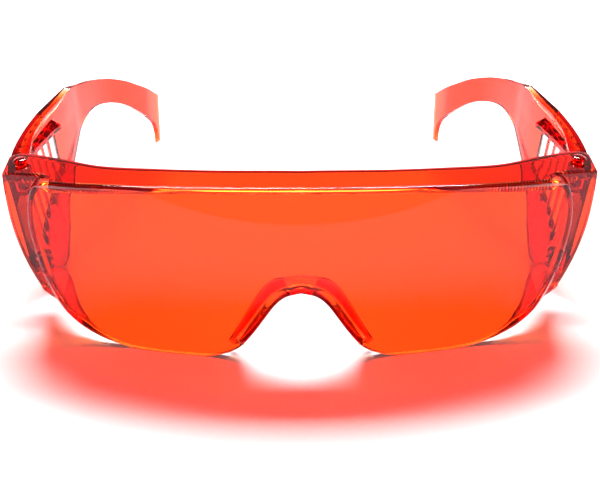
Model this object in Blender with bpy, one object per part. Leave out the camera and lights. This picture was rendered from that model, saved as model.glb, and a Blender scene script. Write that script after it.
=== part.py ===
"""Over-the-glasses safety glasses: one clear moulded front with two folding side-shield temples.

Metres, +Z up. The glasses stand open on a level surface, on the two low points of the lens and
the two temple tips. The lens faces -Y, the temples run back to +Y, and X is the wearer's width.
Depths are first measured from the front of the lens, then moved so that the origin is under the
middle of the object.
"""

import math

import bmesh
import bpy
from mathutils import Matrix, Vector

MM = 0.001

# Front moulding
LENS_RADIUS = 180 * MM          # plan radius of the lens
LENS_THICK = 2.2 * MM
ARC_STEPS = 44                  # facets across a lens arc
SHEET_REACH = 84 * MM           # half the width of a curved sheet before it is trimmed
TOP_STEPS = 12                  # points along half of the lens's top
BROW_TOP = 51.4 * MM            # height of the brow over the nose
ARCH_RADIUS = 510 * MM          # the brow falls away to the sides on this radius
LENS_CORNER = 68.0 * MM         # where the lens panel turns down into its side edge
WING_STEP = 4.6 * MM            # the side wings stand this far behind the lens panel
WING_HALF = 81.4 * MM           # half the width of the front
STEP_WALL = 2.0 * MM
STEP_INSET = 0.02 * MM          # keeps the step wall's face off the lens's edge face
LEDGE_THICK = 2.0 * MM
LEDGE_LIP = 0.3 * MM            # the ledge's front edge stands this proud of the lens
LEDGE_STEPS = 20
LEDGE_END = 34.6 * MM           # how far back the ledge runs at its outer ends
LEDGE_LOW = 30 * MM             # a level well under the ledge
FLANGE_THICK = 2.0 * MM
NOSE_DEPTH = 6.6 * MM
NOSE_LIP = 0.2 * MM             # the nose flange stands this proud of the cut-out's edge
PLATE_Z = (10.3 * MM, 12.1 * MM)  # the level plate that holds the lower pivot
BITE = 0.5 * MM                 # how far joined parts of a moulding run into each other
CUT_LOW = -10 * MM              # the ends of cutting and trimming solids, clear of the object
CUT_HIGH = 60 * MM
CUT_SIDE = 95 * MM

# Hinges: one leaning axis a side, through the ledge and the pivot plate
HINGE_Y = 29.5 * MM
HINGE_LOW = (72.4 * MM, 12.1 * MM)
HINGE_HIGH = (77.1 * MM, 45.6 * MM)
KNUCKLE_RADIUS = 2.6 * MM
KNUCKLE_LENGTH = 6.0 * MM
BORE_RADIUS = 1.5 * MM
PIN_RADIUS = 1.2 * MM
PIN_HEAD_RADIUS = 2.0 * MM
PIN_HEAD = 0.8 * MM
PIN_REACH = 4.6 * MM            # how far a pin goes into its knuckle
GAP = 0.3 * MM
TILT_ROOM = 0.35 * MM           # how much a round end on the leaning axis stands up at one side
BORE_END = 1.0 * MM             # wall left at the blind end of a knuckle's bore
SLIVER = 0.004 * MM

# Temples
TEMPLE_THICK = 2.2 * MM
TEMPLE_START = 27.4 * MM
TEMPLE_END = 151.0 * MM
TEMPLE_TOP = 43.0 * MM
TEMPLE_STEPS = 42
WALL_LOW = -4 * MM              # the temple's wall before it is trimmed to its side outline
WALL_HIGH = 48 * MM
RIM_RUN = (38 * MM, 92 * MM)    # where the inward rim along the top edge starts and ends
RIM_THICK = 1.8 * MM
RIM_DROP = 0.15 * MM            # the rim's top is this far under the temple's top edge
LOUVRES = 6
LOUVRE_PITCH = 5.5 * MM
LOUVRE_FIRST = 48.8 * MM        # the middle of the first vent slot
LOUVRE_WIDTH = 3.3 * MM
LOUVRE_SLANT = math.radians(30)
LOUVRE_CUT = 4.0 * MM
LOUVRE_HEAD = 35.8 * MM
LOUVRE_FOOT = 13.0 * MM         # the lower end of the first slot, from which the others climb
LOUVRE_CLIMB = 0.313
HOOD_RUN = (45 * MM, 76 * MM)   # the ridge over the slots
HOOD_TOP = 38.2 * MM
HOOD_HEIGHT = 2.0 * MM
HOOD_PROUD = (0.5 * MM, 3.3 * MM)  # how far it stands in from the wall at its two ends

DEPTH_MIDDLE = (TEMPLE_END - LEDGE_LIP) / 2
LENS_COLOUR = (1.0, 0.09, 0.012, 1.0)
PIN_COLOUR = (0.75, 0.03, 0.02, 1.0)


# ---------------------------------------------------------------- outlines and formulas

def in_mm(points):
    return [tuple(value * MM for value in point) for point in points]


def smooth(points, steps=5):
    """A Catmull-Rom curve through the points."""
    path = []
    last = len(points) - 1
    for i in range(last):
        p0 = Vector(points[max(i - 1, 0)])
        p1 = Vector(points[i])
        p2 = Vector(points[i + 1])
        p3 = Vector(points[min(i + 2, last)])
        for k in range(steps):
            t = k / steps
            bend = (2 * p0 - 5 * p1 + 4 * p2 - p3) * t * t + (3 * p1 - p0 - 3 * p2 + p3) * t ** 3
            path.append(0.5 * (2 * p1 + (p2 - p0) * t + bend))
    path.append(Vector(points[-1]))
    return path


def along(points, y):
    """The value of a smooth curve of (y, value) points at y."""
    path = smooth(points, 8)
    if y <= path[0][0]:
        return path[0][1]
    for a, b in zip(path, path[1:]):
        if y <= b[0]:
            return a[1] + (b[1] - a[1]) * (y - a[0]) / (b[0] - a[0])
    return path[-1][1]


def lens_y(x):
    """How far back the front of the lens is at x."""
    return LENS_RADIUS - math.sqrt(LENS_RADIUS ** 2 - x * x)


def brow_z(x):
    """Height of the top of the brow ledge at x."""
    return BROW_TOP - x * x / (2 * ARCH_RADIUS)


def hinge_axis(side):
    """A point on the hinge axis, and its direction."""
    low = Vector((side * HINGE_LOW[0], HINGE_Y, HINGE_LOW[1]))
    high = Vector((side * HINGE_HIGH[0], HINGE_Y, HINGE_HIGH[1]))
    return low, (high - low).normalized()


def hinge_at(side, z):
    """The point of the hinge axis at height z."""
    low, direction = hinge_axis(side)
    return low + direction * ((z - low.z) / direction.z)


def offset_path(path, distance):
    """The path moved sideways, to its right as it runs."""
    moved = []
    for i, point in enumerate(path):
        before = path[max(i - 1, 0)]
        after = path[min(i + 1, len(path) - 1)]
        run = (after - before).normalized()
        moved.append(point + Vector((run.y, -run.x)) * distance)
    return moved


def stations(start, end, steps):
    """Evenly spaced places from start to end."""
    return [start + (end - start) * i / steps for i in range(steps + 1)]


def mirrored(half):
    """A closed outline from its right half, which starts and ends on the middle line."""
    left = [Vector((-p[0], p[1])) for p in reversed(half) if p[0] > 1e-6]
    return list(half) + left


LENS_SIDE = in_mm([(68.4, 46.6), (71.2, 45.4), (73.0, 42.2), (73.9, 37.5), (73.8, 32.0),
                   (72.9, 26.4), (71.5, 20.6), (69.8, 15.8), (67.6, 11.6), (65.2, 8.4),
                   (62.3, 5.8), (58.4, 3.3), (53.4, 1.4), (47.6, 0.3), (42.0, 0.0)])
LENS_TO_NOSE = in_mm([(28.0, 0.0), (24.0, 0.3), (20.2, 1.5), (17.2, 3.0), (15.2, 4.9)])
NOTCH = in_mm([(15.2, 4.9), (12.2, 9.0), (9.6, 13.0), (6.9, 17.0), (4.0, 19.4), (0.0, 20.6)])
NOTCH_BACK = in_mm([(18.4, 1.6), (15.8, 6.0), (13.0, 11.2), (10.2, 16.6), (6.6, 20.2),
                    (0.0, 21.2)])
WING_SIDE = in_mm([(81.4, 47.0), (81.3, 40.0), (80.5, 32.0), (79.1, 25.5), (77.0, 19.6),
                   (74.5, 14.6), (72.0, 10.6)])
WING_FOOT = in_mm([(72.0, 10.6), (68.6, 8.8), (65.0, 8.6)])
WING_CORNER = (68 * MM, 48 * MM)
WING_TOP_START = 71 * MM        # where the ledge's front edge steps back over the wing
LEDGE_REAR = in_mm([(0.0, 11.5), (25.0, 13.4), (51.0, 20.0), (65.0, 28.6), (74.0, 34.6),
                    (79.0, 36.8)])
CORNER_FLANGE = in_mm([(49.0, 0.9), (53.6, 1.9), (58.6, 3.9), (62.4, 6.2), (65.6, 8.8),
                       (69.4, 10.4)])
FLANGE_REAR = in_mm([(49.0, 8.8), (53.5, 10.6), (58.5, 13.8), (62.0, 17.8), (64.6, 23.6),
                     (66.2, 28.4)])
FLANGE_SIDES = (49 * MM, 70 * MM)
FLANGE_BITE = 0.9 * MM
PLATE_REAR = in_mm([(66.6, 22.0), (66.4, 28.0), (67.2, 31.6), (69.6, 33.0), (74.4, 33.0),
                    (74.9, 29.0), (74.6, 25.6)])
PLATE_FRONT = in_mm([(72.6, 21.0), (68.0, 18.6)])

TEMPLE_PLAN = in_mm([(20, 79.3), (28, 80.4), (40, 82.1), (48, 82.2), (55, 81.8), (61, 81.2),
                     (71, 79.7), (76, 78.5), (85, 76.4), (92, 75.0), (100, 73.3), (115, 68.4),
                     (132, 61.1), (142, 56.8), (151, 53.4)])
TEMPLE_UPPER = in_mm([(37.6, 43.0), (60.0, 43.4), (84.0, 43.7), (93.0, 43.3), (103.0, 41.6),
                      (113.0, 39.1), (122.9, 35.4), (133.9, 29.2), (141.2, 24.2), (147.2, 19.7),
                      (151.0, 16.8)])
TEMPLE_LOWER = in_mm([(148.2, 0.0), (147.7, 4.4), (146.6, 8.2), (143.9, 11.1), (138.7, 15.7),
                      (130.1, 22.5), (121.9, 27.1), (115.0, 29.4), (109.0, 30.0), (103.6, 29.2),
                      (98.0, 26.8), (91.6, 22.4), (86.0, 19.6), (80.8, 16.7), (75.2, 11.2),
                      (71.0, 7.8), (65.0, 4.6), (60.0, 2.8), (53.0, 2.2), (45.0, 3.2),
                      (40.4, 6.0), (38.0, 12.4)])
RIM_WIDTH = in_mm([(28, 5.6), (44, 5.0), (55, 3.8), (63, 3.4), (78, 3.0), (92, 2.4)])
LEAN = 0.146                    # how far the side leans in for each unit below its top
LEAN_END = 0.120                # the lean fades out towards this depth
LEAN_FADE = 0.055
TUCK = 12.0                     # how strongly the foot of the side curves in
TUCK_BELOW = 0.020


def temple_x(y, z, depth=0.0):
    """Half width of the temple's outer face, or of a layer at a depth under it."""
    fade = min(max((LEAN_END - y) / LEAN_FADE, 0.0), 1.0)
    tuck = TUCK * max(TUCK_BELOW - z, 0.0) ** 2
    return along(TEMPLE_PLAN, y) - depth - fade * (LEAN * (TEMPLE_TOP - z) + tuck)


# ---------------------------------------------------------------- mesh tools

def new_object(name, mesh, where):
    thing = bpy.data.objects.new(name, mesh)
    where.objects.link(thing)
    return thing


def finish_mesh(work, name):
    bmesh.ops.recalc_face_normals(work, faces=work.faces)
    mesh = bpy.data.meshes.new(name)
    work.to_mesh(mesh)
    work.free()
    return mesh


def prism(name, outline, axis, low, high):
    """A closed flat outline drawn square to an axis and extruded along it."""
    place = {
        "X": lambda p, h: (h, p[0], p[1]),
        "Y": lambda p, h: (p[0], h, p[1]),
        "Z": lambda p, h: (p[0], p[1], h),
    }[axis]
    work = bmesh.new()
    base = work.faces.new([work.verts.new(place(p, low)) for p in outline])
    grown = bmesh.ops.extrude_face_region(work, geom=[base])
    top = [item for item in grown["geom"] if isinstance(item, bmesh.types.BMVert)]
    shift = Vector(place((0, 0), high)) - Vector(place((0, 0), low))
    bmesh.ops.translate(work, verts=top, vec=shift)
    return new_object(name, finish_mesh(work, name), TOOLS)


def loft(name, sections):
    """A closed solid through sections that all have the same number of corners."""
    work = bmesh.new()
    rings = [[work.verts.new(p) for p in section] for section in sections]
    for ring, following in zip(rings, rings[1:]):
        for i in range(len(ring)):
            j = (i + 1) % len(ring)
            work.faces.new((ring[i], ring[j], following[j], following[i]))
    work.faces.new(rings[0])
    work.faces.new(rings[-1])
    return new_object(name, finish_mesh(work, name), TOOLS)


def rod(name, start, end, radius, sides=20):
    """A round rod between two points."""
    work = bmesh.new()
    run = end - start
    turn = run.to_track_quat("Z", "Y").to_matrix().to_4x4()
    place = Matrix.Translation((start + end) / 2) @ turn
    bmesh.ops.create_cone(work, cap_ends=True, segments=sides, radius1=radius, radius2=radius,
                          depth=run.length, matrix=place)
    return new_object(name, finish_mesh(work, name), TOOLS)


def combine(base, operation, tool):
    """Joins, cuts or trims base with the tool, which is used up."""
    step = base.modifiers.new(operation.lower(), "BOOLEAN")
    step.operation = operation
    step.object = tool
    view = bpy.context.evaluated_depsgraph_get()
    mesh = bpy.data.meshes.new_from_object(base.evaluated_get(view))
    base.modifiers.clear()
    base.data = mesh
    bpy.data.objects.remove(tool, do_unlink=True)
    return base


def clear_slivers(thing):
    """Welds the tiny edges that boolean cuts leave."""
    work = bmesh.new()
    work.from_mesh(thing.data)
    bmesh.ops.remove_doubles(work, verts=work.verts, dist=SLIVER)
    bmesh.ops.dissolve_degenerate(work, dist=SLIVER, edges=work.edges)
    bmesh.ops.triangulate(work, faces=work.faces)
    bmesh.ops.recalc_face_normals(work, faces=work.faces)
    work.to_mesh(thing.data)
    work.free()


def clear_plastic(name, colour):
    material = bpy.data.materials.new(name)
    material.use_nodes = True
    shader = material.node_tree.nodes["Principled BSDF"]
    shader.inputs["Base Color"].default_value = colour
    shader.inputs["Roughness"].default_value = 0.05
    shader.inputs["Metallic"].default_value = 0.0
    shader.inputs["Transmission Weight"].default_value = 0.9
    shader.inputs["IOR"].default_value = 1.585
    return material


def keep(thing, name, origin, material):
    """Names a finished piece, puts its origin at a point and moves it into the object."""
    origin = Vector(origin)
    thing.name = name
    thing.data.name = name
    thing.data.transform(Matrix.Translation(-origin))
    thing.location = origin - Vector((0, DEPTH_MIDDLE, 0))
    thing.data.materials.clear()
    thing.data.materials.append(material)
    thing.data.shade_smooth()
    thing.data.set_sharp_from_angle(angle=math.radians(30))
    TOOLS.objects.unlink(thing)
    PARTS.objects.link(thing)
    return thing


# ---------------------------------------------------------------- front moulding

def curved_sheet(name, setback, thick):
    """An upright sheet on the lens radius, with its front face set back from the lens's."""
    swing = math.asin(SHEET_REACH / LENS_RADIUS)
    angles = [swing * (2 * i / ARC_STEPS - 1) for i in range(ARC_STEPS + 1)]
    centre_y = LENS_RADIUS + setback
    outline = [(LENS_RADIUS * math.sin(a), centre_y - LENS_RADIUS * math.cos(a)) for a in angles]
    inner = LENS_RADIUS - thick
    outline += [(inner * math.sin(a), centre_y - inner * math.cos(a)) for a in reversed(angles)]
    return prism(name, outline, "Z", CUT_LOW, CUT_HIGH)


def lens_outline():
    spots = [LENS_CORNER * i / TOP_STEPS for i in range(TOP_STEPS)]
    top = [Vector((x, brow_z(x) - LEDGE_THICK / 2)) for x in spots]
    side = smooth(LENS_SIDE, 3)
    inward = smooth(LENS_TO_NOSE, 3)[:-1]
    notch = smooth(NOTCH, 3)
    return mirrored(top + side + inward + notch)


def lens_panel():
    sheet = curved_sheet("lens_panel", 0, LENS_THICK)
    outline = prism("lens_outline", lens_outline(), "Y", CUT_LOW, CUT_HIGH)
    return combine(sheet, "INTERSECT", outline)


def wing(side):
    """The flange beside the lens panel, and the step wall that joins the two."""
    outer = smooth(WING_SIDE, 4) + smooth(WING_FOOT, 3)[1:]
    inner = offset_path(smooth(LENS_SIDE[1:10], 3), STEP_WALL / 2)
    outline = [(side * p[0], p[1]) for p in outer + inner[::-1] + [WING_CORNER]]
    sheet = curved_sheet("wing", WING_STEP, LENS_THICK)
    return combine(sheet, "INTERSECT", prism("wing_outline", outline, "Y", CUT_LOW, CUT_HIGH))


def step_wall(side):
    crease = smooth(LENS_SIDE[:11], 3)
    strip = crease + list(reversed(offset_path(crease, STEP_WALL)))
    outline = [(side * (p[0] - STEP_INSET), p[1]) for p in strip]
    sheet = curved_sheet("step", BITE, WING_STEP + LENS_THICK - 2 * BITE)
    return combine(sheet, "INTERSECT", prism("step_outline", outline, "Y", CUT_LOW, CUT_HIGH))


def brow_ledge():
    """The shelf across the top: an arched sheet trimmed to its plan."""
    widths = [SHEET_REACH * (2 * i / ARC_STEPS - 1) for i in range(ARC_STEPS + 1)]
    section = [(x, brow_z(x)) for x in widths]
    section += [(x, brow_z(x) - LEDGE_THICK) for x in reversed(widths)]
    sheet = prism("brow_ledge", section, "Y", CUT_LOW, CUT_HIGH)
    over_lens = stations(0.0, LENS_CORNER, LEDGE_STEPS)
    over_wing = stations(WING_TOP_START, WING_HALF, LEDGE_STEPS // 5)
    front = [Vector((x, lens_y(x) - LEDGE_LIP)) for x in over_lens]
    front += [Vector((x, lens_y(x) + WING_STEP - LEDGE_LIP)) for x in over_wing]
    rear = [Vector((WING_HALF, LEDGE_END))] + smooth(LEDGE_REAR, 5)[::-1]
    plan = prism("ledge_plan", mirrored(front + rear), "Z", LEDGE_LOW, CUT_HIGH)
    return combine(sheet, "INTERSECT", plan)


def corner_flange(side):
    """The curved shelf inside the lens's lower corner."""
    path = smooth(CORNER_FLANGE, 4)
    strip = path + list(reversed(offset_path(path, -FLANGE_THICK)))
    outline = [(side * p[0], p[1]) for p in strip]
    body = prism("corner_flange", outline, "Y", CUT_LOW, CUT_HIGH)
    near, far = FLANGE_SIDES
    front = [(x, lens_y(x) + FLANGE_BITE) for x in stations(far, near, 8)]
    rear = smooth(FLANGE_REAR, 4) + [Vector((far, FLANGE_REAR[-1][1]))]
    plan = [(side * p[0], p[1]) for p in rear + front]
    return combine(body, "INTERSECT", prism("flange_plan", plan, "Z", CUT_LOW, CUT_HIGH))


def pivot_plate(side):
    """The level plate inside the lower corner that carries the temple's lower pivot."""
    outline = [(side * p[0], p[1]) for p in smooth(PLATE_REAR, 5) + PLATE_FRONT]
    return prism("pivot_plate", outline, "Z", *PLATE_Z)


def nose_flange():
    """The lip around the nose cut-out, a little wider at the back than at the lens."""
    sections = []
    front = smooth(NOTCH, 3)
    back = smooth(NOTCH_BACK, 3)
    front = front + [Vector((-p.x, p.y)) for p in reversed(front[:-1])]
    back = back + [Vector((-p.x, p.y)) for p in reversed(back[:-1])]
    front = offset_path(front, -NOSE_LIP)
    front_out = offset_path(front, FLANGE_THICK)
    back_out = offset_path(back, FLANGE_THICK)
    for f, fo, b, bo in zip(front, front_out, back, back_out):
        start = lens_y(f.x) + BITE
        sections.append([(f.x, start, f.y), (b.x, NOSE_DEPTH, b.y),
                         (bo.x, NOSE_DEPTH, bo.y), (fo.x, start, fo.y)])
    return loft("nose_flange", sections)


def front_shield(material):
    body = lens_panel()
    combine(body, "UNION", brow_ledge())
    for side in (-1, 1):
        combine(body, "UNION", wing(side))
        combine(body, "UNION", step_wall(side))
        combine(body, "UNION", corner_flange(side))
        combine(body, "UNION", pivot_plate(side))
    combine(body, "UNION", nose_flange())
    for side in (-1, 1):
        for low, high in ((CUT_LOW, PLATE_Z[1] + MM), (TEMPLE_TOP, CUT_HIGH)):
            hole = rod("hole", hinge_at(side, low), hinge_at(side, high), BORE_RADIUS)
            combine(body, "DIFFERENCE", hole)
    clear_slivers(body)
    return keep(body, "front_shield", (0, 0, 0), material)


# ---------------------------------------------------------------- temples

def temple_section(side, y, low, high, outer_depth, inner_depth, layers):
    """A closed section of the temple's wall at y, between two heights and two depths."""
    heights = [low + (high - low) * i / layers for i in range(layers + 1)]
    ring = [(side * temple_x(y, z, outer_depth), y, z) for z in heights]
    ring += [(side * temple_x(y, z, inner_depth), y, z) for z in reversed(heights)]
    return ring


def temple_wall(side):
    sections = [temple_section(side, y, WALL_LOW, WALL_HIGH, 0, TEMPLE_THICK, 6)
                for y in stations(TEMPLE_START, TEMPLE_END, TEMPLE_STEPS)]
    wall = loft("temple_wall", sections)
    before = TEMPLE_START - MM
    behind = TEMPLE_END + MM
    outline = [(before, PLATE_Z[1] + GAP), (before, TEMPLE_TOP - GAP)] + smooth(TEMPLE_UPPER, 3)
    outline += [(behind, TEMPLE_UPPER[-1][1]), (behind, 0.0)] + smooth(TEMPLE_LOWER, 3)
    trim = prism("side_outline", outline, "X", -CUT_SIDE, CUT_SIDE)
    return combine(wall, "INTERSECT", trim)


def top_rim(side):
    """The ledge along the inside of the temple's top edge."""
    sections = []
    for y in stations(*RIM_RUN, 18):
        top = along(TEMPLE_UPPER, y) - RIM_DROP
        width = along(RIM_WIDTH, y)
        sections.append(temple_section(side, y, top - RIM_THICK, top, BITE, width, 1))
    return loft("top_rim", sections)


def slot_blade(side, y):
    """A slanting blade through the wall at one vent slot, its inner edge nearer the lens."""
    run = Vector((side * math.cos(LOUVRE_SLANT), math.sin(LOUVRE_SLANT)))
    across = Vector((-run.y, run.x)) * LOUVRE_WIDTH / 2
    reach = run * LOUVRE_CUT
    foot = LOUVRE_FOOT + LOUVRE_CLIMB * (y - LOUVRE_FIRST)
    sections = []
    for z in stations(foot, LOUVRE_HEAD, 3):
        centre = Vector((side * temple_x(y, z, TEMPLE_THICK / 2), y))
        corners = (centre - reach - across, centre - reach + across,
                   centre + reach + across, centre + reach - across)
        sections.append([(p.x, p.y, z) for p in corners])
    return loft("slot", sections)


def vent_hood(side):
    """The ridge inside the wall over the slots, deepest at the rear."""
    sections = []
    for share in stations(0.0, 1.0, 8):
        y = HOOD_RUN[0] + (HOOD_RUN[1] - HOOD_RUN[0]) * share
        proud = HOOD_PROUD[0] + (HOOD_PROUD[1] - HOOD_PROUD[0]) * share
        sections.append(temple_section(side, y, HOOD_TOP - HOOD_HEIGHT, HOOD_TOP, BITE,
                                       TEMPLE_THICK + proud, 1))
    return loft("vent_hood", sections)


def knuckle(side, low, high):
    """A round boss on the hinge axis between two heights."""
    return rod("knuckle", hinge_at(side, low), hinge_at(side, high), KNUCKLE_RADIUS, 24)


def temple(side, name, material):
    body = temple_wall(side)
    combine(body, "UNION", top_rim(side))
    combine(body, "UNION", vent_hood(side))
    for index in range(LOUVRES):
        combine(body, "DIFFERENCE", slot_blade(side, LOUVRE_FIRST + LOUVRE_PITCH * index))
    upper = (TEMPLE_TOP - KNUCKLE_LENGTH, TEMPLE_TOP - GAP)
    lower = (PLATE_Z[1] + TILT_ROOM + GAP, PLATE_Z[1] + KNUCKLE_LENGTH)
    for low, high in (upper, lower):
        combine(body, "UNION", knuckle(side, low, high))
    bores = ((upper[0] + BORE_END, TEMPLE_TOP + BORE_END),
             (PLATE_Z[1] - BORE_END, lower[1] - BORE_END))
    for low, high in bores:
        bore = rod("bore", hinge_at(side, low), hinge_at(side, high), BORE_RADIUS)
        combine(body, "DIFFERENCE", bore)
    clear_slivers(body)
    return keep(body, name, hinge_axis(side)[0], material)


# ---------------------------------------------------------------- pins

def pin(side, head_z, tip_z, name, material):
    """A turned pin on the hinge axis, with its round head at head_z."""
    head = hinge_at(side, head_z)
    tip = hinge_at(side, tip_z)
    run = (tip - head).normalized()
    body = rod(name, head, head + run * PIN_HEAD, PIN_HEAD_RADIUS, 24)
    combine(body, "UNION", rod("shank", head + run * PIN_HEAD / 2, tip, PIN_RADIUS, 16))
    clear_slivers(body)
    return keep(body, name, head, material)


def build():
    clear = clear_plastic("clear_tint", LENS_COLOUR)
    pins = clear_plastic("pin_plastic", PIN_COLOUR)
    front_shield(clear)
    for side, word in ((-1, "left"), (1, "right")):
        temple(side, "temple_" + word, clear)
        ledge_top = brow_z(HINGE_HIGH[0]) + TILT_ROOM + GAP
        pin(side, ledge_top + PIN_HEAD, TEMPLE_TOP - PIN_REACH, "hinge_pin_" + word, pins)
        plate_low = PLATE_Z[0] - TILT_ROOM - GAP
        pin(side, plate_low - PIN_HEAD, PLATE_Z[1] + PIN_REACH, "pivot_pin_" + word, pins)


for old in list(bpy.data.objects):
    bpy.data.objects.remove(old, do_unlink=True)
PARTS = bpy.data.collections.new("safety_glasses")
TOOLS = bpy.data.collections.new("cutters")
bpy.context.scene.collection.children.link(PARTS)
bpy.context.scene.collection.children.link(TOOLS)
build()
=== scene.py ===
"""Over-the-glasses safety glasses: the fine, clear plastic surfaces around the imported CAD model."""

import math

import bmesh
import bpy
import numpy as np
from mathutils import Matrix, Vector


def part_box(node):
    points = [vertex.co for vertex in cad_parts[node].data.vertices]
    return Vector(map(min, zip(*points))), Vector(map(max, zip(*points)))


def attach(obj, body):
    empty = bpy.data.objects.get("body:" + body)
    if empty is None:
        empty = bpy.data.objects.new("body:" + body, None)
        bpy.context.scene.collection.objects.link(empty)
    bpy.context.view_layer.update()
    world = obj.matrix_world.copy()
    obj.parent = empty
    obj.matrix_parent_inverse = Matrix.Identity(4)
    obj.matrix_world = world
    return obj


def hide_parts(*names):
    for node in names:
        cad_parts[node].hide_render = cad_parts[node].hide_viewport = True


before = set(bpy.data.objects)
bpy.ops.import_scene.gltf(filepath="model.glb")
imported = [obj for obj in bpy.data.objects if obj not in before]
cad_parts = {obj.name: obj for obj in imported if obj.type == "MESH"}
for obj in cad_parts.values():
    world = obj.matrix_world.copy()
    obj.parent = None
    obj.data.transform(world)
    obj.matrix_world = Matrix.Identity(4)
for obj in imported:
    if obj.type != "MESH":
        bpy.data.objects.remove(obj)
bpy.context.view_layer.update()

MM = 0.001
# Depths are measured from the front of the lens, which is here in the model's frame.
LENS_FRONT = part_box("front_shield")[0][1] + 0.3 * MM

# ---------------------------------------------------------------- sizes, close to the CAD model's
LENS_RADIUS = 180 * MM
LENS_THICK = 2.2 * MM
BROW_TOP = 51.4 * MM
ARCH_RADIUS = 510 * MM
WING_STEP = 4.6 * MM
WING_HALF = 81.4 * MM
LEDGE_THICK = 1.9 * MM
LEDGE_GROWTH = 0.9 * MM
LEDGE_GROWS = (32 * MM, 66 * MM)
WALL_THICK = 1.8 * MM
FLANGE_THICK = 1.5 * MM
FLANGE_GROWS = 9 * MM
FLANGE_LIFT = (-0.4 * MM, 2.4 * MM)
FEATHER = 0.2 * MM
PLATE_THICK = 1.8 * MM
PLATE_LEVEL = 10.3 * MM
NOSE_DEPTH = 6.0 * MM
NOSE_SIDE = 15.2 * MM
NOSE_LIP = 2.3 * MM
NOSE_BOW = 1.8
FRONT_BEVEL = 1.05 * MM
PIN_HOLE = 1.5 * MM
PIN_HOLE_SPANS = ((7 * MM, 15 * MM), (41 * MM, 50 * MM))
HINGE_Y = 29.5 * MM
HINGE_LOW = (72.4 * MM, 12.1 * MM)
HINGE_HIGH = (77.1 * MM, 45.6 * MM)
TEMPLE_THICK = 2.2 * MM
TEMPLE_START = 27.4 * MM
TEMPLE_END = 151.0 * MM
TEMPLE_TOP = 43.0 * MM
TEMPLE_BEVEL = 0.34 * MM
# The side shield leans inwards towards its foot, and does so less and less along the band.
LEAN = 0.146
LEAN_GONE = 0.120
LEAN_FADES = 0.055
TUCK = 12.0
TUCK_TOP = 0.020
KNUCKLE_RADIUS = 2.6 * MM
KNUCKLE_SPANS = ((37.2 * MM, 42.7 * MM), (12.9 * MM, 18.1 * MM))


def in_mm(points):
    return [tuple(value * MM for value in point) for point in points]


CREASE = in_mm([(68.4, 46.8), (71.0, 45.6), (72.9, 42.4), (73.8, 37.6), (73.8, 32.2), (72.9, 26.6),
                (71.5, 20.6), (69.8, 15.8), (67.9, 12.0), (66.6, 10.0)])
CREASE_BASE = in_mm([(68.4, 46.8), (71.2, 45.7), (73.2, 42.4), (74.1, 37.6), (74.1, 32.2),
                     (73.3, 26.4), (72.0, 20.0), (70.4, 14.6), (68.4, 10.2), (66.8, 7.9)])
LENS_FOOT = in_mm([(66.6, 10.0), (65.2, 8.4), (62.3, 5.8), (58.4, 3.4), (53.4, 1.5), (47.6, 0.35),
                   (42.0, 0.0), (35.0, 0.0), (28.0, 0.0), (24.0, 0.3), (20.2, 1.4), (17.2, 3.0),
                   (15.2, 4.9), (12.2, 9.0), (9.6, 13.0), (6.9, 17.0), (4.0, 19.5), (0.0, 20.6)])
NOTCH_BACK = in_mm([(0.0, 21.2), (4.2, 21.0), (7.2, 20.0), (9.6, 17.2), (12.6, 11.8), (15.6, 6.2),
                    (18.4, 1.4)])
WING_FOOT = (69.4 * MM, 9.1 * MM)
WING_SIDE = in_mm([(81.4, 45.0), (81.3, 40.0), (80.5, 32.0), (79.1, 25.5), (77.0, 19.6),
                   (74.5, 14.6), (72.0, 10.6)])
LEDGE_REAR = in_mm([(0.0, 11.5), (25.0, 13.4), (51.0, 20.0), (65.0, 28.6), (74.0, 34.6),
                    (79.0, 36.8), (81.4, 35.4)])
FLANGE_REAR = in_mm([(50.5, 9.4), (53.5, 10.6), (56.2, 11.9), (58.8, 14.0), (62.0, 17.6),
                     (64.6, 22.8), (66.6, 28.4)])
PLATE_REAR = in_mm([(66.4, 28.4), (67.0, 31.2), (69.0, 32.8), (71.6, 33.0), (73.6, 32.8),
                    (74.8, 31.0)])
TEMPLE_PLAN = in_mm([(20, 79.3), (28, 80.4), (40, 82.1), (48, 82.2), (55, 81.8), (61, 81.2),
                     (71, 79.7), (76, 78.5), (85, 76.4), (92, 75.0), (100, 73.3), (115, 68.4),
                     (132, 60.7), (142, 56.1), (151, 52.4)])
TEMPLE_UPPER = in_mm([(27.4, 42.6), (37.6, 43.0), (60.0, 43.4), (84.0, 43.7), (93.0, 43.1),
                      (103.1, 40.9), (108.6, 39.6), (113.8, 38.1), (118.9, 36.4), (124.7, 34.0),
                      (130.4, 31.2), (136.4, 27.6), (142.8, 23.6), (148.3, 19.7), (151.0, 17.8)])
TEMPLE_LOWER = in_mm([(27.4, 12.4), (36.4, 12.4), (38.0, 11.4), (40.4, 6.0), (45.0, 3.2),
                      (52.4, 2.2), (59.0, 3.8), (64.5, 6.2), (70.1, 8.8), (74.8, 11.8),
                      (78.6, 15.0), (82.0, 18.2), (86.7, 20.9), (92.5, 24.5), (96.8, 27.0),
                      (102.0, 28.9), (107.2, 29.7), (113.0, 29.2), (119.2, 27.5), (125.1, 25.0),
                      (131.0, 21.5), (137.0, 17.0), (143.3, 11.8), (146.9, 8.4), (148.6, 5.4),
                      (149.4, 2.4), (149.6, 0.05), (151.0, 0.05)])
# Columns of the temple's grid that follow its bends, before and behind the slots.
FRONT_MARKS = (36.4 * MM, 38.0 * MM, 40.4 * MM)
REAR_MARKS = (78 * MM, 80 * MM, 92 * MM, 145.4 * MM, 147.4 * MM, 148.6 * MM, 149.4 * MM,
              149.7 * MM)
COLUMN_STEP = 1.3 * MM
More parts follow.
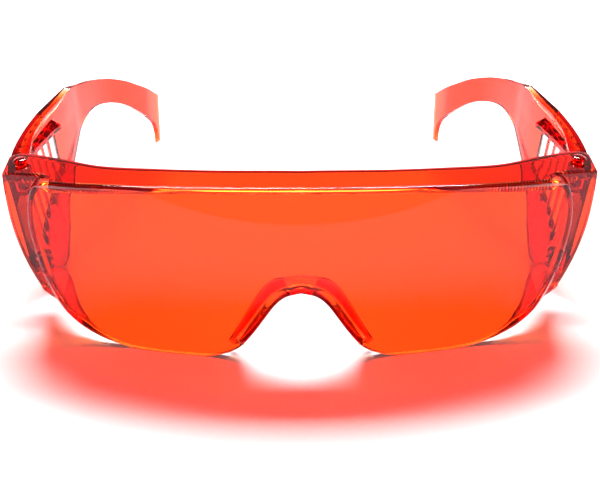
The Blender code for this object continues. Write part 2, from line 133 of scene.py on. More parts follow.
# Rows below, along and over the slots, and above the hood.
BANDS = (7, 10, 3, 4)
TIP_THIN = 0.7 * MM
TIP_THINS = 142 * MM
FRONT_THIN = 1.7 * MM
FRONT_THINS = 38 * MM
UPPER_KNUCKLE_FOOT = (37 * MM, 34 * MM)
LOWER_KNUCKLE_HEAD = (18 * MM, 21 * MM)
RIM_WIDTH = in_mm([(28, 5.6), (44, 5.0), (55, 3.8), (63, 3.4), (70, 3.2), (78, 2.9), (92, 2.3)])
RIM_DEEP = 1.9 * MM
RIM_LEAST = 0.05 * MM
RIM_STEPS = 4
RIM_START = 37.9 * MM
RIM_FADES = 79 * MM
RIM_END = 91.9 * MM
LOUVRES = 6
LOUVRE_PITCH = 5.3 * MM
LOUVRE_FIRST = 46.9 * MM
LOUVRE_WIDTH = 3.5 * MM
LOUVRE_HEAD = 35.8 * MM
# The feet of the slots rise towards the rear: their height in mm at one place, and the slope.
LOUVRE_FOOT = 13.5
LOUVRE_FOOT_AT = 50.7
LOUVRE_FOOT_SLOPE = 0.313
LOUVRES_FADE = (79.5 * MM, 92 * MM)
SLAT_DEPTH = 1.3 * MM
SLAT_LEAN = 2.2 * MM
SLATS_START = 44.4 * MM
SLATS_END = 94 * MM
HOOD_HEIGHT = 2.4 * MM
HOOD_PROUD = 3.3 * MM
HOOD_START = 45 * MM
HOOD_STOPS_SHORT = 2.2 * MM

PIN_SPAN = (47.1 * MM, 38.4 * MM)
PIVOT_SPAN = (8.9 * MM, 16.7 * MM)
PIN_HEAD = in_mm([(0.0, 0.0), (0.9, 0.02), (1.5, 0.12), (1.85, 0.3), (2.0, 0.55), (1.9, 0.8),
                  (1.3, 0.86), (1.2, 1.1)])
PIN_RADIUS = 1.2 * MM
PIN_TIP = 0.8 * MM
PIN_CHAMFER = 0.5 * MM
ROUND_SIDES = 40


# ---------------------------------------------------------------- curves
def smooth(points, steps=8):
    """A Catmull-Rom curve through the points."""
    path = []
    last = len(points) - 1
    for i in range(last):
        p0 = Vector(points[max(i - 1, 0)])
        p1 = Vector(points[i])
        p2 = Vector(points[i + 1])
        p3 = Vector(points[min(i + 2, last)])
        for k in range(steps):
            t = k / steps
            bend = (2 * p0 - 5 * p1 + 4 * p2 - p3) * t * t + (3 * p1 - p0 - 3 * p2 + p3) * t ** 3
            path.append(0.5 * (2 * p1 + (p2 - p0) * t + bend))
    path.append(Vector(points[-1]))
    return path


def spaced(points, count):
    """The smooth curve through the points, as count + 1 points the same distance apart."""
    path = smooth(points)
    length = [0.0]
    for a, b in zip(path, path[1:]):
        length.append(length[-1] + (b - a).length)
    places = np.linspace(0.0, length[-1], count + 1)
    columns = [np.interp(places, length, [p[k] for p in path]) for k in range(len(path[0]))]
    return [Vector(values) for values in zip(*columns)]


def reader(points):
    """A function that reads the smooth curve of (place, value) points at any place."""
    path = sorted(smooth(points), key=lambda p: p[0])
    places = [p[0] for p in path]
    values = [p[1] for p in path]
    return lambda place: float(np.interp(place, places, values))


def ramp(value, start, end):
    """Rises from 0 at start to 1 at end."""
    return min(max((value - start) / (end - start), 0.0), 1.0)


def lens_y(x):
    return LENS_RADIUS - math.sqrt(LENS_RADIUS ** 2 - x * x)


def brow_z(x):
    return BROW_TOP - x * x / (2 * ARCH_RADIUS)


def hinge_at(side, z):
    """The point of the hinge axis at height z."""
    share = (z - HINGE_LOW[1]) / (HINGE_HIGH[1] - HINGE_LOW[1])
    x = HINGE_LOW[0] + (HINGE_HIGH[0] - HINGE_LOW[0]) * share
    return Vector((side * x, HINGE_Y, z))


# ---------------------------------------------------------------- sheets that become solid walls
class Sheet:
    """A moulding's outer face, patch by patch, with the way to its inner face at each point."""

    def __init__(self):
        self.points = []
        self.planes = []
        self.shifts = []
        self.faces = []
        self.index = {}

    def vertex(self, point, normal, thick, shift):
        key = tuple(round(value / 2e-6) for value in point)
        if key not in self.index:
            self.index[key] = len(self.points)
            self.points.append(Vector(point))
            self.planes.append([])
            self.shifts.append(Vector((0, 0, 0)))
        place = self.index[key]
        self.planes[place].append((Vector(normal).normalized(), thick))
        if shift is not None:
            self.shifts[place] = Vector(shift)
        return place

    def patch(self, grid, inward, thick, skip=None, shift=None):
        """Adds a grid of points; inward(i, j) points into the wall, skip(i, j) leaves a hole."""
        places = []
        for i, row in enumerate(grid):
            line = []
            for j, point in enumerate(row):
                depth = thick(i, j) if callable(thick) else thick
                moved = shift(i, j) if shift else None
                line.append(self.vertex(point, inward(i, j), depth, moved))
            places.append(line)
        for i in range(len(grid) - 1):
            for j in range(len(grid[0]) - 1):
                if skip and skip(i, j):
                    continue
                around = (places[i][j], places[i + 1][j], places[i + 1][j + 1], places[i][j + 1])
                corners = list(dict.fromkeys(around))
                if len(corners) > 2:
                    self.faces.append(corners)

    def inner(self, place):
        """Where the inner face is: at the right depth under every plane that meets here."""
        normals = np.array([list(n) for n, _ in self.planes[place]])
        depths = np.array([d for _, d in self.planes[place]])
        move = np.linalg.pinv(normals, rcond=0.12) @ depths
        return self.points[place] + Vector(move) + self.shifts[place]

    def solid(self):
        """The closed wall between the outer and the inner face."""
        work = bmesh.new()
        used = sorted({place for face in self.faces for place in face})
        outer = {place: work.verts.new(self.points[place]) for place in used}
        inner = {place: work.verts.new(self.inner(place)) for place in used}
        seen = {}
        for face in self.faces:
            work.faces.new([outer[p] for p in face])
            work.faces.new([inner[p] for p in reversed(face)])
            for a, b in zip(face, face[1:] + face[:1]):
                seen[(a, b)] = True
        for a, b in seen:
            if (b, a) not in seen:
                work.faces.new((outer[b], outer[a], inner[a], inner[b]))
        return work

    def agree(self):
        """Turns each face so that its outer side looks away from the wall."""
        turned = []
        for face in self.faces:
            a, b, c = (self.points[p] for p in face[:3])
            normal = (b - a).cross(c - b)
            into = Vector((0, 0, 0))
            for place in face:
                for direction, _ in self.planes[place]:
                    into += direction
            turned.append(face if normal.dot(into) < 0 else face[::-1])
        self.faces = turned


def coons(top, foot, near, far):
    """A grid filling four edge curves: rows run from top to foot, columns from near to far."""
    rows = len(near)
    columns = len(top)
    grid = []
    for i in range(rows):
        v = i / (rows - 1)
        row = []
        for j in range(columns):
            u = j / (columns - 1)
            edges = (1 - v) * top[j] + v * foot[j] + (1 - u) * near[i] + u * far[i]
            corners = (1 - v) * ((1 - u) * top[0] + u * top[-1])
            corners += v * ((1 - u) * foot[0] + u * foot[-1])
            row.append(edges - corners)
        grid.append(row)
    return grid


SHARP = math.radians(32)


def add_object(work, name):
    """The finished mesh as an object of that name."""
    mesh = bpy.data.meshes.new(name)
    work.to_mesh(mesh)
    work.free()
    thing = bpy.data.objects.new(name, mesh)
    bpy.context.scene.collection.objects.link(thing)
    return thing


def to_object(work, name, bevel, share=None):
    """Makes a closed wall an object, with its sharp edges rounded to bevel times their share."""
    bmesh.ops.remove_doubles(work, verts=work.verts, dist=1e-6)
    bmesh.ops.recalc_face_normals(work, faces=work.faces)
    weight = work.edges.layers.float.new("bevel_weight_edge")
    for edge in work.edges:
        if len(edge.link_faces) == 2 and edge.calc_face_angle() > SHARP:
            middle = (edge.verts[0].co + edge.verts[1].co) / 2
            edge[weight] = share(middle) if share else 1.0
    thing = add_object(work, name)
    step = thing.modifiers.new("round_edges", "BEVEL")
    step.width = bevel
    step.segments = 4
    step.limit_method = "WEIGHT"
    step.use_clamp_overlap = False
    apply_modifiers(thing)
    return thing


def apply_modifiers(thing):
    view = bpy.context.evaluated_depsgraph_get()
    mesh = bpy.data.meshes.new_from_object(thing.evaluated_get(view))
    thing.modifiers.clear()
    thing.data = mesh


def rod(name, start, end, radius, bevel):
    """A round rod with softened ends."""
    work = bmesh.new()
    run = end - start
    turn = run.to_track_quat("Z", "Y").to_matrix().to_4x4()
    place = Matrix.Translation((start + end) / 2) @ turn
    bmesh.ops.create_cone(work, cap_ends=True, segments=ROUND_SIDES, radius1=radius,
                          radius2=radius, depth=run.length, matrix=place)
    return to_object(work, name, bevel)


def combine(base, operation, tool):
    """Adds the tool to the base or cuts it out, and removes the tool."""
    step = base.modifiers.new(operation.lower(), "BOOLEAN")
    step.operation = operation
    step.object = tool
    apply_modifiers(base)
    bpy.data.objects.remove(tool, do_unlink=True)


def shade(thing, angle=28):
    thing.data.shade_smooth()
    thing.data.set_sharp_from_angle(angle=math.radians(angle))


def place_in_frame(thing):
    """Moves a mesh made from the lens's front back to the model's frame."""
    thing.data.transform(Matrix.Translation((0, LENS_FRONT, 0)))


# ---------------------------------------------------------------- front moulding
LENS_COLUMNS = 76
LENS_ROWS = 44
STEP_ROWS = 4
DEEP_ROWS = 9
WING_COLUMNS = 10


def path_normal(path, i, sign):
    """Square to a flat (x, z) path at its point i, as a 3-D direction."""
    run = path[min(i + 1, len(path) - 1)] - path[max(i - 1, 0)]
    return Vector((sign * run[1], 0, -sign * run[0])).normalized()


def lens_inward(x):
    return Vector((-x, math.sqrt(LENS_RADIUS ** 2 - x * x), 0))


def ledge_inward(x):
    return Vector((-x / ARCH_RADIUS, 0, -1))


def ledge_thick(x):
    """The ledge grows thicker from over the eye to the hinge."""
    return LEDGE_THICK + LEDGE_GROWTH * ramp(x, *LEDGE_GROWS)


def front_half(sheet, side):
    """Adds the moulding's patches on one side of the middle."""
    def at(x, y, z):
        return Vector((side * x, y, z))

    def turned(direction):
        return Vector((side * direction.x, direction.y, direction.z))

    columns = [j / LENS_COLUMNS for j in range(LENS_COLUMNS + 1)]
    top_x = [CREASE[0][0] * u for u in columns]
    top = [Vector((x, brow_z(x) if x < CREASE[0][0] else CREASE[0][1])) for x in top_x]
    crease = spaced(CREASE, LENS_ROWS)
    base = spaced(CREASE_BASE, LENS_ROWS)
    foot_z = reader(LENS_FOOT)
    foot = [Vector((CREASE[-1][0] * u, foot_z(CREASE[-1][0] * u))) for u in columns]
    foot[-1] = crease[-1]
    middle = [Vector((0, top[0].y + (foot[0].y - top[0].y) * i / LENS_ROWS))
              for i in range(LENS_ROWS + 1)]

    # The lens itself.
    lens = coons(top, foot, middle, crease)
    grid = [[at(p.x, lens_y(p.x), p.y) for p in row] for row in lens]
    sheet.patch(grid, lambda i, j: turned(lens_inward(lens[i][j].x)), LENS_THICK)

    # The brow ledge over the lens, first as deep as the step, then back to its rear edge.
    rear = reader(LEDGE_REAR)
    band = [[at(p.x, lens_y(p.x) + WING_STEP * r / STEP_ROWS, p.y) for p in top]
            for r in range(STEP_ROWS + 1)]
    sheet.patch(band, lambda i, j: turned(ledge_inward(top[j].x)),
                lambda i, j: ledge_thick(top[j].x))

    def ledge_row(path, r):
        row = []
        for p in path:
            start = lens_y(p.x) + WING_STEP
            row.append(at(p.x, start + (rear(p.x) - start) * r / DEEP_ROWS, p.y))
        return row

    back = [ledge_row(top, r) for r in range(DEEP_ROWS + 1)]
    sheet.patch(back, lambda i, j: turned(ledge_inward(top[j].x)),
                lambda i, j: ledge_thick(top[j].x))

    # The ledge over the wing.
    wing_x = [top[-1].x + (WING_HALF - top[-1].x) * k / WING_COLUMNS
              for k in range(WING_COLUMNS + 1)]
    wing_top = [top[-1]] + [Vector((x, brow_z(x))) for x in wing_x[1:]]
    end = [ledge_row(wing_top, r) for r in range(DEEP_ROWS + 1)]
    sheet.patch(end, lambda i, j: turned(ledge_inward(wing_top[j].x)),
                lambda i, j: ledge_thick(wing_top[j].x))

    # The step wall between lens panel and wing.
    step = []
    for r in range(STEP_ROWS + 1):
        share = r / STEP_ROWS
        row = []
        for a, b in zip(crease, base):
            y = (1 - share) * lens_y(a.x) + share * (lens_y(b.x) + WING_STEP)
            p = (1 - share) * a + share * b
            row.append(at(p.x, y, p.y))
        step.append(row)
    sheet.patch(step, lambda i, j: turned(path_normal(crease, j, 1)), WALL_THICK)

    # The wing.
    outer = spaced(WING_SIDE, LENS_ROWS)
    outer[0] = wing_top[-1]
    wing_foot = spaced([base[-1], WING_FOOT, outer[-1]], WING_COLUMNS)
    wing_foot[0] = base[-1]
    wing_foot[-1] = outer[-1]
    wing = coons(wing_top, wing_foot, base, outer)
    grid = [[at(p.x, lens_y(p.x) + WING_STEP, p.y) for p in row] for row in wing]
    sheet.patch(grid, lambda i, j: turned(lens_inward(wing[i][j].x)), LENS_THICK)

    # The flange inside the lower corner, which starts where the step wall ends.
    first = next(j for j, p in enumerate(foot) if p.x > FLANGE_REAR[0][0])
    edge = foot[first:]
    flange_y = reader(FLANGE_REAR)
    spread = base[-1] - crease[-1]
    lift = Vector(FLANGE_LIFT)
    flange = []
    for r in range(STEP_ROWS + DEEP_ROWS + 1):
        row = []
        for p in edge:
            weight = (p.x - edge[0].x) / (edge[-1].x - edge[0].x)
            own = max(flange_y(p.x) - lens_y(p.x), LENS_THICK)
            shallow = min(own, WING_STEP)
            near = p + spread * weight ** 2
            if r <= STEP_ROWS:
                share = r / STEP_ROWS
                q = (1 - share) * p + share * near
                y = (1 - share) * lens_y(p.x) + share * (lens_y(near.x) + shallow)
            else:
                share = (r - STEP_ROWS) / DEEP_ROWS
                q = near + lift * weight ** 3 * share
                y = lens_y(near.x) + shallow + (own - shallow) * share
            row.append(at(q.x, y, q.y))
        flange.append(row)
    thicks = [FEATHER + (FLANGE_THICK - FEATHER) * min(1.0, (p.x - edge[0].x) / FLANGE_GROWS)
              for p in edge]
    sheet.patch(flange, lambda i, j: turned(path_normal(edge, j, -1)), lambda i, j: thicks[j])

    # The level plate that carries the lower pivot, behind the wing's foot.
    plate_rear = spaced(PLATE_REAR, WING_COLUMNS)
    plate = []
    for r in range(DEEP_ROWS + 1):
        share = r / DEEP_ROWS
        row = []
        for k, p in enumerate(wing_foot):
            across = k / WING_COLUMNS
            target = plate_rear[k]
            x = p.x + (target.x - p.x) * share ** (1 - 0.5 * across)
            z = p.y + (PLATE_LEVEL - p.y) * min(1.0, share * (1 + across))
            start = lens_y(p.x) + WING_STEP
            row.append(at(x, start + (target.y - start) * share, z))
        plate.append(row)
    for r in range(DEEP_ROWS + 1):
        plate[r][0] = flange[STEP_ROWS + r][-1]
    sheet.patch(plate, lambda i, j: Vector((0, 0, 1)), PLATE_THICK)

    # The lip round the nose.
    last = next(j for j, p in enumerate(foot) if p.x > NOSE_SIDE)
    rim = foot[:last + 1]
    back_rim = spaced(NOTCH_BACK, last)
    lip = []
    for r in range(DEEP_ROWS + 1):
        share = r / DEEP_ROWS
        row = []
        for p, q in zip(rim, back_rim):
            y = lens_y(p.x) + (NOSE_DEPTH - lens_y(p.x)) * share
            bow = share ** NOSE_BOW
            row.append(at(p.x + (q.x - p.x) * bow, y, p.y + (q.y - p.y) * bow))
        lip.append(row)
    sheet.patch(lip, lambda i, j: turned(path_normal(rim, j, -1)), NOSE_LIP)


def front_rounding(p):
    """How round an edge of the front is: brow and crease are soft, the lens's foot is crisp."""
    nose, brow, crease, foot_or_behind, rest = 0.3, 1.0, 0.68, 0.05, 0.32
    on_lens = abs(p.y - lens_y(p.x)) < 0.05 * MM
    if abs(p.x) < 20 * MM and p.z < 24 * MM:
        return nose
    if on_lens and p.z > brow_z(p.x) - 0.2 * MM:
        return brow
    if on_lens and abs(p.x) > CREASE[-1][0] - 1 * MM:
        return crease
    if p.z < 8 * MM or p.y > NOSE_DEPTH + 2 * MM:
        return foot_or_behind
    return rest


def front_moulding():
    sheet = Sheet()
    front_half(sheet, 1)
    front_half(sheet, -1)
    sheet.agree()
    body = to_object(sheet.solid(), "front_moulding", FRONT_BEVEL, front_rounding)
    for side in (-1, 1):
        for low, high in PIN_HOLE_SPANS:
            hole = rod("hole", hinge_at(side, low), hinge_at(side, high), PIN_HOLE, 0.01 * MM)
            combine(body, "DIFFERENCE", hole)
    shade(body)
    place_in_frame(body)
    return body


# ---------------------------------------------------------------- temples
def temple_surface():
    """A function that gives how far out the temple's outer face is at a place and height."""
    plan = reader(TEMPLE_PLAN)

    def half_width(y, z):
        lean = min(max((LEAN_GONE - y) / LEAN_FADES, 0.0), 1.0)
        tuck = TUCK * max(TUCK_TOP - z, 0.0) ** 2
        return plan(y) - lean * (LEAN * (TEMPLE_TOP - z) + tuck)

    return half_width


def louvre_edges():
    """Front and rear edge of each vent slot."""
    slots = []
    for index in range(LOUVRES):
        front = LOUVRE_FIRST + LOUVRE_PITCH * index
        slots.append((front, front + LOUVRE_WIDTH))
    return slots


def temple_columns():
    """Where the temple's grid lines stand, with one on each slot edge."""
    marks = [TEMPLE_START, *FRONT_MARKS]
    for slot in louvre_edges():
        marks += slot
    marks += [*REAR_MARKS, TEMPLE_END]
    columns = []
    for a, b in zip(marks, marks[1:]):
        count = max(1, round((b - a) / COLUMN_STEP))
        columns += [a + (b - a) * k / count for k in range(count)]
    return columns + [TEMPLE_END]


def temple(side, name):
    half_width = temple_surface()
    upper = reader(TEMPLE_UPPER)
    lower = reader(TEMPLE_LOWER)
    rim_width = reader(RIM_WIDTH)
    columns = temple_columns()
    slots = louvre_edges()
    foot_row = BANDS[0]
    head_row = foot_row + BANDS[1]
    hood_row = head_row + BANDS[2]

    def levels(y):
        """Lower edge, foot and head of the slots, top of the hood, upper edge."""
        low, high = lower(y), upper(y)
        part = (high - low) / 4
        fade = ramp(y, *LOUVRES_FADE)
        foot = (LOUVRE_FOOT + LOUVRE_FOOT_SLOPE * (y / MM - LOUVRE_FOOT_AT)) * MM
        head = LOUVRE_HEAD
        hood = head + HOOD_HEIGHT
        foot = foot + (low + part - foot) * fade
        head = head + (low + 2 * part - head) * fade
        hood = hood + (low + 3 * part - hood) * fade
        return low, max(foot, low + 0.4 * MM), head, hood, high

    heights = []
    for y in columns:
        stops = levels(y)
        line = []
        for a, b, count in zip(stops, stops[1:], BANDS):
            line += [a + (b - a) * k / count for k in range(count)]
        heights.append(line + [stops[-1]])

    def point(y, z):
        return Vector((side * half_width(y, z), y, z))

    def inward(i, j):
        y, z = columns[i], heights[i][j]
        step = 0.2 * MM
        along_y = point(y + step, z) - point(y - step, z)
        along_z = point(y, z + step) - point(y, z - step)
        normal = along_y.cross(along_z)
        return normal if normal.x * side < 0 else -normal

    def in_slot(y):
        return any(a - 1e-7 < y < b + 1e-7 for a, b in slots)

    def slatted(i, j):
        """How far a point belongs to the thin slats between the slots."""
        y = columns[i]
        along = min(ramp(y, SLATS_START, slots[0][0]), ramp(y, SLATS_END, slots[-1][1]))
        level = min(ramp(j, foot_row - 2, foot_row), ramp(j, head_row + 1, head_row))
        return along * level

    def hooded(i, j):
        """How far a point belongs to the hood over the slots."""
        y = columns[i]
        if j <= head_row or j > hood_row or y > slots[-1][1] - HOOD_STOPS_SHORT:
            return 0.0
        return ramp(y, HOOD_START, slots[-1][1])

    def between(z):
        """How far a level is between the two knuckles, where the front edge is drawn thin."""
        return min(ramp(z, *LOWER_KNUCKLE_HEAD), ramp(z, *UPPER_KNUCKLE_FOOT))

    def depth(i, j):
        y = columns[i]
        wall = TEMPLE_THICK + (SLAT_DEPTH - TEMPLE_THICK) * slatted(i, j)
        wall -= TIP_THIN * ramp(y, TIP_THINS, TEMPLE_END)
        wall -= FRONT_THIN * ramp(y, FRONT_THINS, TEMPLE_START) * between(heights[i][j])
        return wall + HOOD_PROUD * hooded(i, j)

    def slant(i, j):
        return Vector((0, -SLAT_LEAN * slatted(i, j), 0))

    def hole(i, j):
        middle = (columns[i] + columns[i + 1]) / 2
        return in_slot(middle) and foot_row <= j < head_row

    sheet = Sheet()
    wall = [[point(y, z) for z in line] for y, line in zip(columns, heights)]
    sheet.patch(wall, inward, depth, skip=hole, shift=slant)

    # The rim along the top.
    start = next(i for i, y in enumerate(columns) if y > RIM_START)
    stop = next(i for i, y in enumerate(columns) if y > RIM_END)
    rim = []
    for i in range(start, stop + 1):
        y = columns[i]
        edge = wall[i][-1]
        width = rim_width(y)
        rim.append([edge - Vector((side * width * r / RIM_STEPS, 0, 0))
                    for r in range(RIM_STEPS + 1)])
    deep = [RIM_DEEP * (1 - ramp(y, RIM_FADES, RIM_END)) + RIM_LEAST
            for y in columns[start:stop + 1]]
    sheet.patch(rim, lambda i, j: Vector((0, 0, -1)), lambda i, j: deep[i])

    def rounding(p):
        """The thin tip and the front edge are less round than the rest."""
        return 0.4 if p.y > 143 * MM or p.y < 29 * MM else 0.7

    sheet.agree()
    body = to_object(sheet.solid(), name, TEMPLE_BEVEL, rounding)
    for low, high in KNUCKLE_SPANS:
        knuckle = rod("knuckle", hinge_at(side, low), hinge_at(side, high), KNUCKLE_RADIUS,
                      0.5 * MM)
        combine(body, "UNION", knuckle)
    shade(body)
    place_in_frame(body)
    return body


# ---------------------------------------------------------------- pins
def pin(side, head_z, tip_z, name):
    """A headed pin turned from a profile, with a domed head."""
    head = hinge_at(side, head_z)
    tip = hinge_at(side, tip_z)
    reach = (tip - head).length
    profile = PIN_HEAD + [(PIN_RADIUS, reach - PIN_CHAMFER), (PIN_TIP, reach), (0.0, reach)]
    work = bmesh.new()
    rings = []
    for radius, along in profile:
        ring = []
        for k in range(ROUND_SIDES):
            a = 2 * math.pi * k / ROUND_SIDES
            ring.append(work.verts.new((radius * math.cos(a), radius * math.sin(a), along)))
        rings.append(ring)
    for a, b in zip(rings, rings[1:]):
        for k in range(ROUND_SIDES):
            n = (k + 1) % ROUND_SIDES
            work.faces.new((a[k], a[n], b[n], b[k]))
    bmesh.ops.remove_doubles(work, verts=work.verts, dist=1e-6)
    bmesh.ops.recalc_face_normals(work, faces=work.faces)
    turn = (tip - head).to_track_quat("Z", "Y").to_matrix().to_4x4()
    bmesh.ops.transform(work, matrix=Matrix.Translation(head) @ turn, verts=work.verts)
    thing = add_object(work, name)
    shade(thing, 50)
    place_in_frame(thing)
    return thing


# ---------------------------------------------------------------- materials
SMEAR_SCALE = 38
SMEAR_RANGE = (0.35, 0.75)
SMEAR_ROUGHNESS = 0.03
UNPOLISHED_BELOW = 13 * MM
UNPOLISHED_SLOPE = 0.6
UNPOLISHED_ROUGHNESS = 0.45
FLOW_SCALE = 22
FLOW_STRENGTH = 0.03
FLOW_DEPTH = 0.001


def clear_plastic(name, absorb, density, roughness, shine, index):
    """Tinted clear polycarbonate: the colour is taken out of the light over its path inside."""
    material = bpy.data.materials.new(name)
    material.use_nodes = True
    nodes = material.node_tree.nodes
    links = material.node_tree.links
    shader = nodes["Principled BSDF"]
    output = nodes["Material Output"]
    shader.inputs["Base Color"].default_value = (1, 1, 1, 1)
    shader.inputs["Transmission Weight"].default_value = 1.0
    shader.inputs["IOR"].default_value = index
    shader.inputs["Specular Tint"].default_value = (*shine, 1)
    volume = nodes.new("ShaderNodeVolumeAbsorption")
    volume.inputs["Color"].default_value = (*absorb, 1)
    volume.inputs["Density"].default_value = density
    links.new(volume.outputs["Volume"], output.inputs["Volume"])
    # Handling marks: faint, uneven gloss.
    where = nodes.new("ShaderNodeTexCoord")
    smear = nodes.new("ShaderNodeTexNoise")
    smear.inputs["Scale"].default_value = SMEAR_SCALE
    smear.inputs["Detail"].default_value = 3
    links.new(where.outputs["Object"], smear.inputs["Vector"])
    gloss = nodes.new("ShaderNodeMapRange")
    gloss.inputs["From Min"].default_value = SMEAR_RANGE[0]
    gloss.inputs["From Max"].default_value = SMEAR_RANGE[1]
    gloss.inputs["To Min"].default_value = roughness
    gloss.inputs["To Max"].default_value = roughness + SMEAR_ROUGHNESS
    links.new(smear.outputs["Fac"], gloss.inputs["Value"])
    # The narrow level faces along the foot are as they come from the mould, unpolished.
    facing = nodes.new("ShaderNodeNewGeometry")
    slope = nodes.new("ShaderNodeSeparateXYZ")
    links.new(facing.outputs["True Normal"], slope.inputs["Vector"])
    level = nodes.new("ShaderNodeMath")
    level.operation = "ABSOLUTE"
    links.new(slope.outputs["Z"], level.inputs[0])
    flat = nodes.new("ShaderNodeMath")
    flat.operation = "GREATER_THAN"
    flat.inputs[1].default_value = UNPOLISHED_SLOPE
    links.new(level.outputs["Value"], flat.inputs[0])
    place = nodes.new("ShaderNodeSeparateXYZ")
    links.new(where.outputs["Object"], place.inputs["Vector"])
    low = nodes.new("ShaderNodeMath")
    low.operation = "LESS_THAN"
    low.inputs[1].default_value = UNPOLISHED_BELOW
    links.new(place.outputs["Z"], low.inputs[0])
    both = nodes.new("ShaderNodeMath")
    both.operation = "MULTIPLY"
    links.new(flat.outputs["Value"], both.inputs[0])
    links.new(low.outputs["Value"], both.inputs[1])
    rough = nodes.new("ShaderNodeMath")
    rough.operation = "MULTIPLY_ADD"
    rough.inputs[1].default_value = UNPOLISHED_ROUGHNESS
    links.new(both.outputs["Value"], rough.inputs[0])
    links.new(gloss.outputs["Result"], rough.inputs[2])
    links.new(rough.outputs["Value"], shader.inputs["Roughness"])
    # Mould flow: a very slow waviness of the surface.
    flow = nodes.new("ShaderNodeTexNoise")
    flow.inputs["Scale"].default_value = FLOW_SCALE
    flow.inputs["Detail"].default_value = 1
    links.new(where.outputs["Object"], flow.inputs["Vector"])
    bump = nodes.new("ShaderNodeBump")
    bump.inputs["Strength"].default_value = FLOW_STRENGTH
    bump.inputs["Distance"].default_value = FLOW_DEPTH
    links.new(flow.outputs["Fac"], bump.inputs["Height"])
    links.new(bump.outputs["Normal"], shader.inputs["Normal"])
    return material


def matt(name, colour, roughness):
    material = bpy.data.materials.new(name)
    material.use_nodes = True
    shader = material.node_tree.nodes["Principled BSDF"]
    shader.inputs["Base Color"].default_value = (*colour, 1)
    shader.inputs["Roughness"].default_value = roughness
    return material


def give(thing, material):
    thing.data.materials.clear()
    thing.data.materials.append(material)


# ---------------------------------------------------------------- studio
# The surroundings are pale near the horizon and reddish above it, which keeps the plastic's
# edges crimson. The camera itself sees them white.
SKY_LOW = (0.5, 0.42, 0.42, 1)
SKY_HIGH = (0.42, 0.07, 0.075, 1)
SKY_SEEN = (1, 1, 1, 1)
SKY_FADES = (12, 26)
# A white sheet lies on a greyer table, whose reflection makes the arc in the lens.
SHEET_FRONT = LENS_FRONT - 80 * MM
SHEET_TONE = (0.9, 0.9, 0.9)
TABLE_TONE = (0.34, 0.34, 0.34)
FLOOR_LEVEL = -0.1 * MM
FLOOR_HALF = 3.0
FLOOR_ROUGHNESS = 0.6
LAMP_PLACE = (0, 0.60, 0.93)
LAMP_TARGET = (0, -0.05, 0)
LAMP_SIZE = (0.85, 0.38)
LAMP_POWER = 35
BOUNCES = 32
GLOSSY_BOUNCES = 12

# The camera looks down at the object from the front.
SENSOR = 36
FOCAL = 78.384
CAMERA_AWAY = 0.2996
CAMERA_HEIGHT = 0.1962
CAMERA_SIDE = 0.00044
CAMERA_DOWN = 28
CAMERA_TURN = -0.6


def area_light(name, place, target, width, height, power):
    lamp = bpy.data.lights.new(name, "AREA")
    lamp.shape = "RECTANGLE"
    lamp.size = width
    lamp.size_y = height
    lamp.energy = power
    thing = bpy.data.objects.new(name, lamp)
    thing.location = place
    thing.rotation_euler = (Vector(target) - Vector(place)).to_track_quat("-Z", "Y").to_euler()
    bpy.context.scene.collection.objects.link(thing)


def lay_sheet(name, front, back, material):
    """A level part of the floor, between two depths."""
    work = bmesh.new()
    corners = ((-FLOOR_HALF, front), (FLOOR_HALF, front), (FLOOR_HALF, back), (-FLOOR_HALF, back))
    work.faces.new([work.verts.new((x, y, FLOOR_LEVEL)) for x, y in corners])
    thing = add_object(work, name)
    give(thing, material)


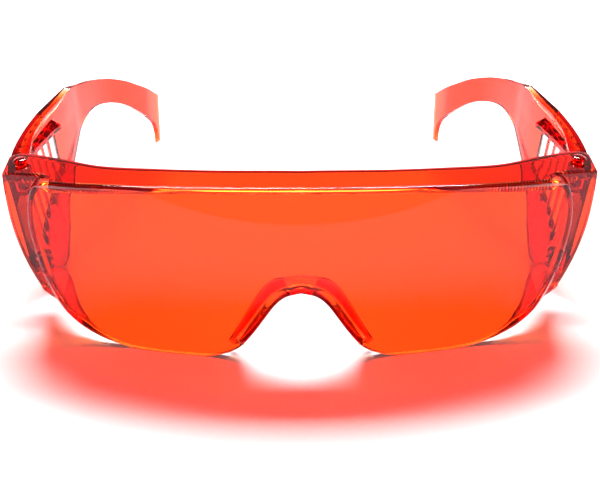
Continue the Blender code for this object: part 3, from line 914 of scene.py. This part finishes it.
def studio():
    scene = bpy.context.scene
    world = bpy.data.worlds.new("white_room")
    world.use_nodes = True
    nodes = world.node_tree.nodes
    links = world.node_tree.links
    nodes["Background"].inputs["Strength"].default_value = 1.0
    where = nodes.new("ShaderNodeTexCoord")
    height = nodes.new("ShaderNodeSeparateXYZ")
    links.new(where.outputs["Generated"], height.inputs["Vector"])
    fade = nodes.new("ShaderNodeMapRange")
    fade.interpolation_type = "SMOOTHSTEP"
    fade.inputs["From Min"].default_value = math.sin(math.radians(SKY_FADES[0]))
    fade.inputs["From Max"].default_value = math.sin(math.radians(SKY_FADES[1]))
    links.new(height.outputs["Z"], fade.inputs["Value"])
    sky = nodes.new("ShaderNodeMix")
    sky.data_type = "RGBA"
    sky.inputs[6].default_value = SKY_LOW
    sky.inputs[7].default_value = SKY_HIGH
    links.new(fade.outputs["Result"], sky.inputs["Factor"])
    seen = nodes.new("ShaderNodeLightPath")
    backdrop = nodes.new("ShaderNodeMix")
    backdrop.data_type = "RGBA"
    backdrop.inputs[7].default_value = SKY_SEEN
    links.new(seen.outputs["Is Camera Ray"], backdrop.inputs["Factor"])
    links.new(sky.outputs[2], backdrop.inputs[6])
    links.new(backdrop.outputs[2], nodes["Background"].inputs["Color"])
    scene.world = world
    scene.view_settings.view_transform = "Standard"
    scene.cycles.max_bounces = BOUNCES
    scene.cycles.transmission_bounces = BOUNCES
    scene.cycles.glossy_bounces = GLOSSY_BOUNCES
    scene.cycles.sample_clamp_indirect = 0
    scene.cycles.blur_glossy = 0

    lay_sheet("white_sheet", SHEET_FRONT, FLOOR_HALF,
              matt("white_card", SHEET_TONE, FLOOR_ROUGHNESS))
    lay_sheet("pale_table", -FLOOR_HALF, SHEET_FRONT,
              matt("pale_table", TABLE_TONE, FLOOR_ROUGHNESS))
    area_light("softbox", LAMP_PLACE, LAMP_TARGET, *LAMP_SIZE, LAMP_POWER)


def camera():
    lens = bpy.data.cameras.new("camera")
    lens.sensor_width = SENSOR
    lens.lens = FOCAL
    lens.clip_start = 0.01
    thing = bpy.data.objects.new("camera", lens)
    turn = math.radians(CAMERA_TURN)
    away = LENS_FRONT - CAMERA_AWAY
    thing.location = (CAMERA_SIDE - away * math.sin(turn), away * math.cos(turn), CAMERA_HEIGHT)
    thing.rotation_euler = (math.radians(90 - CAMERA_DOWN), 0, turn)
    bpy.context.scene.collection.objects.link(thing)
    bpy.context.scene.camera = thing


# ---------------------------------------------------------------- the object
TINT = {"absorb": (0.950, 0.448, 0.010), "density": 2390, "roughness": 0.0}

studio()
camera()
tinted = clear_plastic("tinted_polycarbonate", **TINT, shine=(1.0, 0.7, 0.8), index=1.42)
arm_tinted = clear_plastic("tinted_polycarbonate_temple", **TINT, shine=(1.0, 0.3, 0.3),
                           index=1.33)
pin_plastic = clear_plastic("pin_plastic", absorb=(0.96, 0.2, 0.0), density=3000, roughness=0.05,
                            shine=(1.0, 1.0, 1.0), index=1.45)

front = front_moulding()
give(front, tinted)
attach(front, "front")
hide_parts("front_shield")

for side, word in ((-1, "left"), (1, "right")):
    arm = temple(side, "temple_moulding_" + word)
    give(arm, arm_tinted)
    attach(arm, "temple_" + word)
    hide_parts("temple_" + word)
    top_pin = pin(side, *PIN_SPAN, "hinge_pin_fine_" + word)
    low_pin = pin(side, *PIVOT_SPAN, "pivot_pin_fine_" + word)
    for fine, node in ((top_pin, "hinge_pin_" + word), (low_pin, "pivot_pin_" + word)):
        give(fine, pin_plastic)
        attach(fine, "front")
        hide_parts(node)
